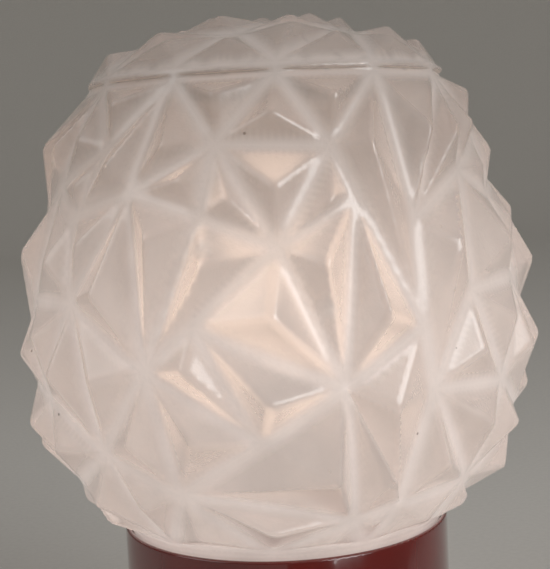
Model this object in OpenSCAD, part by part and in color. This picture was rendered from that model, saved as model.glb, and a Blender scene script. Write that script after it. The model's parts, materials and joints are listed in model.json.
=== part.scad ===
// Table lamp: a faceted opal glass shade standing in a glossy red steel drum.
// Millimetres. Z is up, the table is at z = 0, the lamp's axis is the Z axis and its front faces -Y.

/* [Drum] */
// Outside diameter of the drum
drum_d = 120; // [119:0.5:121]
// Height of the drum's rim over the table
rim_z = 80; // [80:1:90]
// Thickness of the drum's sheet steel
drum_wall = 1.5; // [1:0.1:1.6]
// Width of the turned-in flange at the drum's foot
flange_w = 9.5; // [8:0.5:11]

/* [Shade] */
// How far a pyramid's point rises for each millimetre of the pyramid's reach
tip_ratio = 0.40; // [0.3:0.01:0.45]
// The same for the flatter pyramids of the crown
crown_ratio = 0.34; // [0.28:0.01:0.38]
// Distance that the cavity lies inside the meeting points of the grooves
glass_depth = 8; // [7:0.5:9]
// Outside radius of the neck that stands in the drum
neck_r = 57.3; // [57:0.1:57.6]
// Thickness of the neck
neck_wall = 4; // [3:0.5:5]
// Depth of the neck below the drum's rim
neck_depth = 20.5; // [18:0.5:20.5]
// Outside radius of the ring that the mould's joint leaves
seam_r = 64.2; // [63.5:0.1:65]

/* [Stem] */
// Outside diameter of the threaded stem tube
stem_d = 10; // [10:0.1:10.2]
// Inside diameter of the stem tube
stem_bore_d = 7; // [6.5:0.1:7.5]
// Width across the flats of the stem nuts
nut_af = 14; // [13:1:17]
// Height of a stem nut
nut_h = 4; // [3:0.5:4]

/* [Bulb] */
// Diameter of the bulb's globe
globe_d = 60; // [55:1:62]
// Length of the bulb from the tip contact to the crown
bulb_len = 105; // [100:1:108]
// Thickness of the bulb's glass
bulb_wall = 0.8; // [0.6:0.1:1]

/* [Switch] */
// Angle between the rocker's two positions
rocker_throw = 20; // [14:1:22]
// Height of the switch over the table
switch_z = 41; // [40:0.5:41]

/* [Cord inlet] */
// Diameter of the hole for the cord
cord_hole_d = 6.6; // [6:0.1:7]
// Height of the cord inlet over the table
inlet_z = 21; // [21:0.5:22]

/* [Hidden] */
$fn = 96;

// Steel sheet of the plates and washers
plate_t = 1.5;
washer_t = 0.8;
washer_r = 9;
drum_r = drum_d / 2;
bore_r = drum_r - drum_wall;
// A loose fit of a plate in the drum
plate_gap = 0.3;

// Heights of the stack on the stem, from the table up
drum_foot_z = 1.5;
base_z = 2.5;
centre_rise = 4;
base_top_z = base_z + centre_rise + plate_t;
ballast_h = 7;
ballast_top_z = base_top_z + ballast_h;
tag_t = 0.8;
gasket_t = 2;
neck_foot_z = rim_z - neck_depth;
gallery_top_z = neck_foot_z - gasket_t;
gallery_z = gallery_top_z - plate_t;
bottom_nut_z = base_z + centre_rise - washer_t - nut_h;
holder_z = gallery_top_z + washer_t + nut_h;
stem_top_z = holder_z + 10;
// Round hole in the stem's side where the leads go in
stem_port_z = 34;

// Lampholder and bulb
insert_z = holder_z + 14.7;
insert_top_z = insert_z + 10;
contact_z = insert_top_z + 3;
shell_r = 14;
shell_in_r = 13.6;
holder_top_z = contact_z + 23;
cap_r = 13.2;
cap_len = 27;
thread_pitch = 3.629;
globe_r = globe_d / 2;
globe_z = contact_z + bulb_len - globe_r;
glass_foot_z = contact_z + cap_len - 2;
glass_foot_r = 14.2;

// The shade's net. Grooves run between hubs, and each cell between grooves rises to a point.
// A hub is [degrees round from the front, height over the rim]. The rows hold one third of the
// turn. A cell names its hubs as 10 * row + place, and a place past the end of a row is the
// same hub one third further round.
third = 120;
shoulder_row = 0;
seam_row = 9;
foot_row = 8;
hub_rows = [
    [[-27, 158], [3, 158], [33, 158], [63, 158]],
    [[-45, 137], [-13, 137], [15, 135]],
    [[-53, 116], [-35, 123], [-16, 115], [19, 119], [53, 125]],
    [[1, 105], [33, 111]],
    [[-50, 88], [-17, 82], [31, 78], [46, 87]],
    [[-28, 68], [13, 62], [33, 58], [57, 55]],
    [[-42, 40], [-4, 46]],
    [[-24, 28], [17, 16], [29, 20], [52, 22]],
    [[-38, 4], [-5, 4], [24, 4], [52, 4]],
    [[-27, 162], [3, 162], [33, 162], [63, 162]],
    [[-12, 173], [48, 173]],
    [[18, 178]],
];
// Each cell is [degrees round, height, hubs clockwise from outside] of its point.
cells = [
    [1, 146, [1, 12, 11]], [-13, 153, [0, 1, 11]], [17, 151, [1, 2, 12]], [40, 139, [2, 3, 31]],
    [77, 152, [3, 4, 13]], [-25, 137, [0, 11, 21]], [-41, 132, [0, 21, 20, 10]],
    [-20, 127, [11, 22, 21]], [-9, 120, [11, 30, 22]], [1, 124, [11, 12, 30]],
    [13, 118, [12, 23, 30]], [23, 136, [12, 2, 31, 42, 23]], [52, 140, [3, 24, 31]],
    [65, 141, [3, 13, 24]], [65, 126, [13, 25, 24]], [41, 103, [31, 24, 43, 52, 42]],
    [63, 101, [24, 25, 44, 43]], [58, 76, [43, 44, 53]], [45, 68, [43, 53, 52]],
    [10, 100, [30, 23, 51]], [21, 84, [23, 42, 51]], [-1, 85, [30, 51, 41]],
    [-14, 101, [22, 30, 41, 50]], [-26, 110, [21, 22, 50]], [-38, 92, [21, 50, 40]],
    [-47, 106, [20, 21, 40]], [-39, 65, [40, 50, 60]], [-18, 69, [50, 41, 61]],
    [-2, 58, [41, 51, 61]], [22, 54, [51, 42, 52, 72]], [-17, 47, [50, 61, 70]],
    [-32, 45, [50, 70, 60]], [11, 32, [70, 61, 51, 71]], [23, 31, [51, 72, 71]],
    [48, 43, [52, 53, 73]], [37, 32, [52, 73, 72]], [67, 65, [53, 44, 62]],
    [63, 38, [53, 62, 73]], [71, 20, [73, 62, 84]], [62, 10, [73, 84, 83]],
    [-34, 22, [60, 70, 80]], [-22, 11, [70, 81, 80]], [-3, 14, [70, 71, 81]],
    [12, 8, [71, 82, 81]], [24, 13, [71, 72, 82]], [39, 11, [72, 73, 83, 82]],
];
// The crown's cells, over the seam: only their hubs, for their points stand over the middle.
crown_cells = [
    [91, 90, 100], [92, 91, 101], [93, 92, 101], [94, 93, 102], [100, 101, 91], [101, 102, 93],
    [101, 100, 110], [102, 101, 111], [110, 111, 101],
];
// Outline through the hubs: [height over the rim, radius]
hub_outline = [[0, 58], [4, 61.5], [16, 73], [28, 80.5], [42, 86], [60, 88.5], [84, 87.5],
    [105, 83], [125, 77], [137, 73], [150, 70], [158, 64], [162, 63.5], [173, 40], [178, 18]];
crown_tip_z = 183;
// A small cell's point stands this much lower than its reach gives
tip_drop = 2;
// Heights over the rim at which the cavity follows the hubs
cavity_rings = [4, 16, 28, 42, 60, 84, 105, 125, 137, 150];
crown_glass = 7;

function hub_radius(z) = lookup(z, hub_outline);
function hub_place(code) =
    let (row = hub_rows[floor(code / 10)], place = code % 10, turn = floor(place / len(row)))
    row[place - turn * len(row)] + [third * turn, 0];
// Angles are counted from the front, -Y, towards +X
function on_shade(angle, radius, z) = [radius * sin(angle), -radius * cos(angle), z];
function hub_point(code) =
    let (place = hub_place(code)) on_shade(place[0], hub_radius(place[1]), place[1]);
function mean(points, i = 0) =
    i == len(points) - 1 ? points[i] / len(points) : points[i] / len(points) + mean(points, i + 1);
function reach(points) = let (middle = mean(points)) mean([for (p = points) norm(p - middle)]);
function tip_point(cell) =
    let (rise = max(tip_drop, tip_ratio * reach([for (code = cell[2]) hub_point(code)]) - tip_drop))
    on_shade(cell[0], hub_radius(cell[1]) + rise, cell[1]);
function crown_point(codes) =
    let (hubs = [for (code = codes) hub_point(code)])
    mean(hubs) + crown_ratio * reach(hubs) * unit(cross(hubs[2] - hubs[0], hubs[1] - hubs[0]));
function turned(p, angle) =
    [p[0] * cos(angle) - p[1] * sin(angle), p[0] * sin(angle) + p[1] * cos(angle), p[2]];

// Routes of the leads: hand-laid points that the wire passes through
lead_r = 1;
lead_sides = 8;
pole_x = -20.5;
pole_z = ballast_top_z + 5;
pole_pitch = 8;
tab_y = 38;
live_route = [[pole_x, pole_pitch, pole_z], [-16, 11, 21], [-9, 20, 26], [-4, 30, 31],
    [-2, 35, 34], [0, tab_y - 0.5, switch_z - 5]];
switch_route = [[0, tab_y - 0.5, switch_z + 5], [-3, 33, 46], [-9, 24, 44], [-12, 14, 40],
    [-11, 5, 36], [-8, 1.6, 34], [-4, 1.3, 34], [0.5, 0.9, 36], [1.6, 0, 42], [1.6, 0, 56],
    [1.6, 0, 70], [2.4, 0, 73.5], [5.1, 0, insert_z - 1.5]];
neutral_route = [[pole_x, -pole_pitch, pole_z], [-16, -9, 21], [-13, -6, 26], [-10, -2.5, 31],
    [-7, -1.5, 34], [-3.5, -1.2, 34.5], [-1.8, -0.6, 37], [-1.6, 0, 43], [-1.6, 0, 56],
    [-1.6, 0, 70], [-2.4, 0, 73.5], [-5.1, 0, insert_z - 1.5]];
earth_route = [[pole_x, 0, pole_z], [-17, -2, 21], [-13, -8, 20], [-8, -14, 18], [-2, -17, 16.9]];

// Points of a smooth curve through a route, with a few steps between two route points
function spline(a, b, c, d, t) =
    (b * 2 + (c - a) * t + (a * 2 - b * 5 + c * 4 - d) * t * t + (b * 3 - a - c * 3 + d) * t ^ 3) / 2;
function smooth_route(route, steps = 5) = [
    for (i = [0 : len(route) - 2], k = [0 : steps - 1])
        spline(route[max(i - 1, 0)], route[i], route[i + 1], route[min(i + 2, len(route) - 1)], k / steps),
    route[len(route) - 1]
];
function unit(v) = v / norm(v);
function heading(path, i) = unit(path[min(i + 1, len(path) - 1)] - path[max(i - 1, 0)]);
// Side directions along a path, each turned as little as possible from the last
function side_list(path, i = 0, last = [0.3, 0.5, 0.81]) =
    i == len(path) ? [] :
    let (ahead = heading(path, i), side = unit(last - ahead * (last * ahead)))
    concat([side], side_list(path, i + 1, side));

// A wire of round section along a route
module wire(route, radius, sides = lead_sides) {
    path = smooth_route(route);
    side = side_list(path);
    last = len(path) - 1;
    points = [
        for (i = [0 : last], k = [0 : sides - 1])
            let (across = cross(heading(path, i), side[i]), turn = 360 * k / sides)
            path[i] + radius * (cos(turn) * side[i] + sin(turn) * across)
    ];
    walls = [
        for (i = [0 : last - 1], k = [0 : sides - 1])
            let (a = i * sides + k, b = i * sides + (k + 1) % sides)
            each [[a, a + sides, b], [b, a + sides, b + sides]]
    ];
    polyhedron(points, concat(walls, [[for (k = [0 : sides - 1]) k]],
        [[for (k = [sides - 1 : -1 : 0]) last * sides + k]]));
}

// A ring or tube on the Z axis
module ring(outer, inner, z, h) {
    translate([0, 0, z]) difference() {
        cylinder(r = outer, h = h);
        translate([0, 0, -1]) cylinder(r = inner, h = h + 2);
    }
}

// Copies its children at equal steps round the Z axis
module around(count, start = 0) {
    for (i = [0 : count - 1]) rotate(start + 360 * i / count) children();
}

// A round-headed slotted screw whose head stands on z = 0 and whose shank points down
module slotted_screw(shank_r, shank_l, head_r, head_h) {
    difference() {
        union() {
            cylinder(r = head_r, h = head_h, $fn = 32);
            translate([0, 0, -shank_l]) cylinder(r = shank_r, h = shank_l + 0.1, $fn = 32);
        }
        translate([-head_r, -0.4, head_h * 0.5]) cube([2 * head_r, 0.8, head_h]);
    }
}

// The solid outside of the shade over its foot: one point for each hub and each cell's tip
module shade_net() {
    codes = [for (row = [0 : len(hub_rows) - 1], place = [0 : len(hub_rows[row]) - 1]) 10 * row + place];
    per_third = len(codes) + len(cells) + len(crown_cells);
    hubs = [for (code = codes) hub_point(code)];
    tips = concat([for (cell = cells) tip_point(cell)], [for (cell = crown_cells) crown_point(cell)]);
    outlines = concat([for (cell = cells) cell[2]], crown_cells);
    points = concat([for (i = [0 : 2], p = concat(hubs, tips)) turned(p, third * i)],
        [[0, 0, crown_tip_z]]);
    crown = 3 * per_third;
    // Index of a hub, for a code that may lie in the next third
    function hub_index(code, turn) =
        let (row = floor(code / 10), width = len(hub_rows[row]), place = code % 10)
        ((turn + floor(place / width)) % 3) * per_third + search(10 * row + place % width, codes)[0];
    facets = [
        for (turn = [0 : 2], c = [0 : len(outlines) - 1])
            let (ring_codes = outlines[c], tip = turn * per_third + len(codes) + c)
            for (k = [0 : len(ring_codes) - 1])
                [tip, hub_index(ring_codes[k], turn),
                    hub_index(ring_codes[(k + 1) % len(ring_codes)], turn)]
    ];
    band = [
        for (turn = [0 : 2], k = [0 : len(hub_rows[seam_row]) - 1])
            let (low = 10 * shoulder_row + k, high = 10 * seam_row + k)
            each [
                [hub_index(low, turn), hub_index(high, turn), hub_index(low + 1, turn)],
                [hub_index(low + 1, turn), hub_index(high, turn), hub_index(high + 1, turn)]
            ]
    ];
    crown_facets = [for (turn = [0 : 2]) [crown, hub_index(111, turn), hub_index(110, turn)]];
    foot = [[for (turn = [0 : 2], k = [0 : 3]) hub_index(10 * foot_row + k, turn)]];
    polyhedron(points, concat(facets, band, crown_facets, foot));
}

// The shade's hollow, which follows the hubs at an even depth
module shade_cavity() {
    inner_r = neck_r - neck_wall;
    rotate_extrude() polygon(concat(
        [[0, -neck_depth - 1], [inner_r, -neck_depth - 1], [inner_r, 0]],
        [for (z = cavity_rings) [max(inner_r, hub_radius(z) - glass_depth), z]],
        [[42, 163], [28, 168], [0, crown_tip_z - 5 - crown_glass]]
    ));
}

module shade_glass() {
    seam_z = hub_rows[seam_row][0][1] - 1.5;
    color("antiquewhite") translate([0, 0, rim_z]) difference() {
        union() {
            shade_net();
            translate([0, 0, -neck_depth]) cylinder(r = neck_r, h = neck_depth + 5);
            rotate_extrude() polygon([[neck_r - 1, 1], [neck_r, 1], [hub_radius(4) - 1, 4], [hub_radius(4) - 1, 6],
                [neck_r - 1, 6]]);
            translate([0, 0, seam_z]) rotate_extrude()
                polygon([[56, -1.6], [seam_r - 0.8, -1], [seam_r, 0], [seam_r - 0.8, 1], [56, 1.6]]);
        }
        shade_cavity();
    }
}

module drum_shell() {
    lip_r = 0.9;
    color("darkred") difference() {
        union() {
            ring(drum_r, bore_r, drum_foot_z, rim_z - lip_r - drum_foot_z);
            translate([0, 0, rim_z - lip_r]) rotate_extrude() translate([drum_r - lip_r, 0]) circle(r = lip_r, $fn = 32);
            ring(bore_r + 0.1, bore_r - flange_w, base_z + plate_t, plate_t);
        }
        translate([0, drum_r, inlet_z]) rotate([90, 0, 0]) cylinder(r = 6.1, h = 20, center = true);
        translate([0, drum_r, switch_z]) cube([13.2, 20, 19.2], center = true);
    }
}

module gallery_brackets() {
    leaf = 14;
    color("silver") around(3, 30) intersection() {
        union() {
            ring(bore_r, bore_r - plate_t, gallery_z - 12, 12);
            ring(bore_r, bore_r - 10, gallery_z - plate_t, plate_t);
        }
        translate([bore_r - 20, -leaf / 2, gallery_z - 13]) cube([25, leaf, 14]);
    }
}

module gallery_plate() {
    vent_pitch_r = 38;
    color("silver") difference() {
        ring(bore_r - plate_gap, stem_d / 2 + 0.2, gallery_z, plate_t);
        around(6, 30) translate([vent_pitch_r, 0, gallery_z - 1]) cylinder(r = 5, h = plate_t + 2);
    }
}

module shade_gasket() {
    color("dimgray") ring(neck_r + 0.2, neck_r - neck_wall - 1, gallery_top_z, gasket_t);
}

module base_plate() {
    color("silver") difference() {
        rotate_extrude() polygon([
            [stem_d / 2 + 0.2, base_z + centre_rise], [22, base_z + centre_rise], [28, base_z],
            [bore_r - plate_gap, base_z], [bore_r - plate_gap, base_z + plate_t], [28.6, base_z + plate_t],
            [22.6, base_top_z], [stem_d / 2 + 0.2, base_top_z]
        ]);
        around(4, 45) translate([42, 0, 0]) cylinder(r = 2.5, h = 10);
    }
}

module rubber_feet() {
    color("black") around(4, 45) translate([42, 0, 0]) {
        cylinder(r1 = 6.4, r2 = 7, h = base_z);
        cylinder(r = 2.5, h = base_z + plate_t + 0.1);
        translate([0, 0, base_z + plate_t]) cylinder(r1 = 3.6, r2 = 3, h = 1.2);
    }
}

module ballast_disc() {
    color("dimgray") difference() {
        ring(48, stem_d / 2 + 0.3, base_top_z, ballast_h);
        translate([-29, 4, ballast_top_z - 6]) cylinder(r = 1.25, h = 7, $fn = 32);
        for (x = [-9, 9]) translate([x, 30, ballast_top_z - 6]) cylinder(r = 1.5, h = 7, $fn = 32);
    }
}

module stem_tube() {
    color("goldenrod") difference() {
        ring(stem_d / 2, stem_bore_d / 2, bottom_nut_z, stem_top_z - bottom_nut_z);
        translate([-stem_d, 0, stem_port_z]) rotate([0, 90, 0]) cylinder(r = 3.4, h = stem_d);
    }
}

// Undersides of the four nuts, each with its washer on the side of the plate that it holds
nut_levels = [bottom_nut_z, ballast_top_z + tag_t + washer_t, gallery_z - washer_t - nut_h,
    gallery_top_z + washer_t];
washer_levels = [base_z + centre_rise - washer_t, ballast_top_z + tag_t, gallery_z - washer_t,
    gallery_top_z];

module stem_nuts() {
    color("gold") for (z = nut_levels) translate([0, 0, z]) difference() {
        intersection() {
            cylinder(r = nut_af / 2 / cos(30), h = nut_h, $fn = 6);
            translate([0, 0, nut_h / 2]) sphere(r = nut_af / 2 + 0.95);
        }
        translate([0, 0, -1]) cylinder(r = stem_d / 2, h = nut_h + 2);
    }
}

module stem_washers() {
    color("silver") for (z = washer_levels) ring(washer_r, stem_d / 2 + 0.2, z, washer_t);
}

module lampholder_cap() {
    color("saddlebrown") difference() {
        translate([0, 0, holder_z]) rotate_extrude() polygon([
            [0, 0], [8, 0], [8.6, 0.6], [8.6, 4], [12, 6.2], [17.5, 8.2], [19.6, 10.4], [20, 12.5],
            [20, 18], [0, 18]
        ]);
        translate([0, 0, holder_z - 1]) cylinder(r = stem_d / 2, h = 12);
        translate([0, 0, holder_z + 8.4]) rotate_extrude() polygon([
            [0, 0], [12, 0], [16.5, 2.4], [17, 4], [17, 12], [0, 12]
        ]);
    }
}

module lampholder_insert() {
    color("ivory") translate([0, 0, insert_z]) difference() {
        union() {
            cylinder(r = 16.8, h = 6);
            cylinder(r = 15.2, h = insert_top_z - insert_z);
        }
        translate([0, 0, 7]) cylinder(r = 8, h = 6);
    }
}

module lampholder_body() {
    foot = insert_z + 3.5;
    rise = holder_top_z - foot;
    color("saddlebrown") translate([0, 0, foot]) rotate_extrude() polygon([
        [17.4, 0], [20.8, 0], [21.2, 0.5], [21.2, 7], [20.6, 8], [19.4, rise - 2.2], [20, rise - 1.4],
        [20, rise - 0.4], [19.6, rise], [14.9, rise], [14.5, rise - 0.4], [14.5, 6.7], [15.4, 6.6],
        [17.4, 2.6]
    ]);
}

module lampholder_shell() {
    color("gold") rotate_extrude() polygon([
        [9, insert_top_z], [shell_r, insert_top_z], [shell_r, holder_top_z - 4],
        [shell_in_r, holder_top_z - 4], [shell_in_r, insert_top_z + 0.4], [9, insert_top_z + 0.4]
    ]);
}

// Spring tongue that the bulb's tip stands on
module lampholder_contact() {
    color("gold") translate([0, 3, 0]) rotate([90, 0, 0]) linear_extrude(6) polygon([
        [-6, insert_z + 7], [-3, insert_z + 7], [-1, insert_z + 7.4], [4, contact_z - 0.9],
        [4, contact_z - 0.5], [-3, contact_z], [-3, contact_z - 0.5], [2.6, contact_z - 1.1],
        [-1.4, insert_z + 7.9], [-6, insert_z + 7.5]
    ]);
}

module lampholder_screws() {
    color("gold") for (x = [-8.6, 8.6]) translate([x, 0, insert_z]) rotate([180, 0, 90]) slotted_screw(1.5, 0, 3, 2.4);
}

// Height of a neck curve that leaves the bulb's foot straight up and meets the globe smoothly
bulb_join_z = globe_z - globe_r / 2;
bulb_join_r = globe_r * cos(30);
bulb_join_slope = tan(30);
function neck_curve(t, low_r, high_r, slope) =
    low_r * (2 * t ^ 3 - 3 * t * t + 1) + high_r * (3 * t * t - 2 * t ^ 3) + slope * (t ^ 3 - t * t);
// Outline of the bulb's glass, thinned by an inset
function bulb_outline(inset) = concat(
    [for (k = [0 : 9])
        [neck_curve(k / 10, glass_foot_r, bulb_join_r, bulb_join_slope * (bulb_join_z - glass_foot_z)) - inset,
            glass_foot_z + (bulb_join_z - glass_foot_z) * k / 10]],
    [for (a = [-30 : 6 : 84]) [(globe_r - inset) * cos(a), globe_z + (globe_r - inset) * sin(a)]],
    [[0, globe_z + globe_r - inset]]
);

module bulb_glass() {
    color("white") difference() {
        rotate_extrude() polygon(concat([[0, glass_foot_z]], bulb_outline(0)));
        rotate_extrude() polygon(concat([[0, glass_foot_z - 0.1]], [[glass_foot_r - bulb_wall, glass_foot_z - 0.1]],
            bulb_outline(bulb_wall)));
    }
}

module bulb_cap() {
    rounds = 5;
    low = contact_z + 4.5;
    high = glass_foot_z + 1.5;
    color("lightgray") difference() {
        rotate_extrude() polygon(concat(
            [[0, low], [cap_r - 2, low]],
            [for (k = [0 : 2 * rounds]) [k % 2 == 0 ? cap_r - 0.9 : cap_r, low + 1 + thread_pitch / 2 * k]],
            [[cap_r - 0.6, high - 2.6], [glass_foot_r + 0.4, high - 1.4], [glass_foot_r + 0.4, high], [0, high]]
        ));
        translate([0, 0, low + 1]) cylinder(r = cap_r - 1.4, h = high);
        translate([0, 0, glass_foot_z]) cylinder(r = glass_foot_r + 0.1, h = 4);
        translate([0, 0, low - 1]) cylinder(r = 7, h = 4);
    }
}

module bulb_insulator() {
    color("black") rotate_extrude() polygon([
        [0, contact_z + 1.6], [4.6, contact_z + 1.6], [cap_r - 2.4, contact_z + 4.5],
        [7, contact_z + 4.5], [7, contact_z + 5.5], [0, contact_z + 5.5]
    ]);
}

module bulb_contact() {
    color("silver") translate([0, 0, contact_z]) rotate_extrude()
        polygon([[0, 0], [2.2, 0], [3.8, 0.6], [4.4, 1.2], [4.4, 1.6], [0, 1.6]]);
}

bulb_pinch_z = glass_foot_z + 24;
bulb_flare_r = glass_foot_r - bulb_wall - 0.1;

// Glass foot inside the bulb, flared at the bottom and pinched flat round the lead wires
module bulb_mount() {
    color("white") union() {
        rotate_extrude() polygon([
            [bulb_flare_r - 0.9, glass_foot_z + 0.4], [bulb_flare_r, glass_foot_z + 0.4], [5, glass_foot_z + 7],
            [4, glass_foot_z + 12], [4, bulb_pinch_z - 6], [3, bulb_pinch_z - 6], [3, glass_foot_z + 12],
            [4, glass_foot_z + 7]
        ]);
        translate([-6, -1.4, bulb_pinch_z - 6.1]) cube([12, 2.8, 6.1]);
        translate([0, 0, bulb_pinch_z - 0.1]) cylinder(r = 1.3, h = 12, $fn = 32);
    }
}

filament_z = globe_z;
filament_r = 13;
module bulb_leads() {
    color("silver") for (side = [-1, 1])
        wire([[side * 3.6, 0, bulb_pinch_z + 0.03], [side * 4, 0, bulb_pinch_z + 6], [side * 9, -1, filament_z - 8],
            [side * filament_r, 0, filament_z - 0.6]], 0.4);
}

module bulb_supports() {
    color("silver") for (turn = [-145, -90, -35])
        wire([[0, 0, bulb_pinch_z + 12.1], [6 * cos(turn), 6 * sin(turn), filament_z - 4],
            [filament_r * cos(turn), filament_r * sin(turn), filament_z - 0.85]], 0.25);
}

module bulb_filament() {
    color("orange") translate([0, 0, filament_z]) rotate(-180) rotate_extrude(angle = 180)
        translate([filament_r, 0]) circle(r = 0.6, $fn = 16);
}

module terminal_block() {
    block = [17, 26, 12];
    color("whitesmoke") difference() {
        translate([-29 - block[0] / 2, -block[1] / 2, ballast_top_z]) cube(block);
        for (k = [-1, 0, 1]) {
            translate([-29 - block[0], k * pole_pitch, pole_z]) rotate([0, 90, 0]) cylinder(r = 2, h = 40, $fn = 32);
            for (x = [-33, -25]) translate([x, k * pole_pitch, pole_z]) cylinder(r = 1.8, h = 10, $fn = 32);
        }
        translate([-29, 4, 0]) cylinder(r = 1.6, h = 60, $fn = 32);
        translate([-29, 4, ballast_top_z + 6]) cylinder(r = 2.7, h = 10, $fn = 32);
    }
}

module terminal_screws() {
    color("gold") for (k = [-1, 0, 1], x = [-33, -25])
        translate([x, k * pole_pitch, ballast_top_z + 9.5]) slotted_screw(1.4, 2.5, 1.7, 1.4);
}

module terminal_fixing_screw() {
    color("silver") translate([-29, 4, ballast_top_z + 6]) slotted_screw(1.25, 11, 2.5, 1.8);
}

switch_face_y = drum_r;
rocker_axis_y = switch_face_y - 2.5;
pivot_r = 1.1;

module switch_body() {
    color("black") difference() {
        union() {
            translate([-7.5, switch_face_y, switch_z - 10.5]) cube([15, 1.8, 21]);
            translate([-6.5, switch_face_y - 14, switch_z - 9.5]) cube([13, 14.1, 19]);
        }
        translate([-5.3, switch_face_y - 8, switch_z - 8.7]) cube([10.6, 20, 17.4]);
        translate([-6.3, rocker_axis_y, switch_z]) rotate([0, 90, 0]) cylinder(r = pivot_r + 0.05, h = 12.6, $fn = 32);
    }
}

// Rocker paddle, drawn level and then tipped to the lit position
module switch_rocker() {
    color("darkred") translate([0, rocker_axis_y, switch_z]) rotate([rocker_throw / 2, 0, 0]) {
        translate([-4.9, 0, 0]) rotate([90, 0, 90]) linear_extrude(9.8)
            polygon([[-1.5, -4], [1.2, -7.8], [5.2, -7.8], [4.3, 0], [5.2, 7.8], [1.2, 7.8], [-1.5, 4], [-3.2, 0]]);
        translate([-6.2, 0, 0]) rotate([0, 90, 0]) cylinder(r = pivot_r, h = 12.4, $fn = 32);
    }
}

module switch_tabs() {
    color("gold") for (z = [-5, 5])
        translate([-2.4, tab_y, switch_z + z - 0.4]) cube([4.8, switch_face_y - 14 - tab_y, 0.8]);
}

// Bush in the drum's wall that the cord comes in through
module cord_bush() {
    color("black") translate([0, drum_r, inlet_z]) rotate([-90, 0, 0]) rotate_extrude() polygon([
        [cord_hole_d / 2, -9], [7, -9], [7.2, -6], [6.1, -3], [6.1, 0.02], [8, 0.02], [8, 1], [7.2, 2.4],
        [cord_hole_d / 2, 2.4]
    ]);
}

clamp_y = 30;
module cord_clamp() {
    color("whitesmoke") difference() {
        translate([-13, clamp_y - 4, ballast_top_z]) cube([26, 8, 8]);
        translate([0, clamp_y - 5, ballast_top_z + 2.4]) rotate([-90, 0, 0]) cylinder(r = 3.2, h = 10, $fn = 48);
        translate([-3.2, clamp_y - 5, ballast_top_z - 1]) cube([6.4, 10, 3.4]);
        for (x = [-9, 9]) translate([x, clamp_y, 0]) cylinder(r = 1.7, h = 60, $fn = 32);
    }
}

module clamp_screws() {
    color("silver") for (x = [-9, 9]) translate([x, clamp_y, ballast_top_z + 8]) slotted_screw(1.5, 13, 3, 2);
}

module live_lead() {
    color("saddlebrown") wire(live_route, lead_r);
}

module neutral_lead() {
    color("royalblue") wire(neutral_route, lead_r);
}

module switch_lead() {
    color("saddlebrown") wire(switch_route, lead_r);
}

module earth_lead() {
    color("limegreen") wire(earth_route, lead_r);
}

module earth_tag() {
    color("silver") translate([0, 0, ballast_top_z]) difference() {
        union() {
            cylinder(r = washer_r, h = tag_t);
            translate([-2.5, -19, 0]) cube([5, 19, tag_t]);
        }
        translate([0, 0, -1]) cylinder(r = stem_d / 2 + 0.2, h = 4);
    }
}

shade_glass();
drum_shell();
gallery_brackets();
gallery_plate();
shade_gasket();
base_plate();
rubber_feet();
ballast_disc();
stem_tube();
stem_nuts();
stem_washers();
lampholder_cap();
lampholder_insert();
lampholder_body();
lampholder_shell();
lampholder_contact();
lampholder_screws();
bulb_glass();
bulb_cap();
bulb_insulator();
bulb_contact();
bulb_mount();
bulb_leads();
bulb_supports();
bulb_filament();
terminal_block();
terminal_screws();
terminal_fixing_screw();
switch_body();
switch_rocker();
switch_tabs();
cord_bush();
cord_clamp();
clamp_screws();
live_lead();
neutral_lead();
switch_lead();
earth_lead();
earth_tag();
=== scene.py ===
"""Looks of a table lamp: a faceted satin glass shade, lit from inside, in a gloss red steel drum."""

import json
import math

import bmesh
import bpy
import numpy as np
from bpy.props import FloatProperty, FloatVectorProperty, IntProperty, PointerProperty
from mathutils import Matrix, Vector
from mathutils.bvhtree import BVHTree


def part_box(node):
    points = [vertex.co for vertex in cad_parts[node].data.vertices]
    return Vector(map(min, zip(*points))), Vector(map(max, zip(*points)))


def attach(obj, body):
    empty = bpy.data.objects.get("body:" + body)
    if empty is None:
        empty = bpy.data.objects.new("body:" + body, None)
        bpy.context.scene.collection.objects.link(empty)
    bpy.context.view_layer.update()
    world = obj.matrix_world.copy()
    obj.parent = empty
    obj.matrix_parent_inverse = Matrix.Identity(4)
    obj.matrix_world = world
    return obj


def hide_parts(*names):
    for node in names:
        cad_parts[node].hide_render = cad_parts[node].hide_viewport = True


bl_info = {
    "name": "Faceted glass table lamp",
    "version": (1, 0, 0),
    "blender": (4, 5, 0),
    "location": "3D View > Sidebar > Lamp",
    "description": "Builds the visible pieces and finishes of a lit glass table lamp around its packed frame",
    "category": "Add Mesh",
}

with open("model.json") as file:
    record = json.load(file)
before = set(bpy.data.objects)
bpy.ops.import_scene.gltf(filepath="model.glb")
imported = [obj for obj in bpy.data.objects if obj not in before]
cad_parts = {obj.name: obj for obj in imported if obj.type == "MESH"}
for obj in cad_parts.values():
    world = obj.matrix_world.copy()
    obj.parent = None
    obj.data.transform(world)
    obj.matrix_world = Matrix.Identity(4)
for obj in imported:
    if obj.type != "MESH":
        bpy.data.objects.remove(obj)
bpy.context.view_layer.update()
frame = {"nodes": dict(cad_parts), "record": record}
MM = 0.001
# Parts that a finer piece stands for
REPLACED = ("shade_glass", "drum_shell", "bulb_filament", "bulb_cap")

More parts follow.
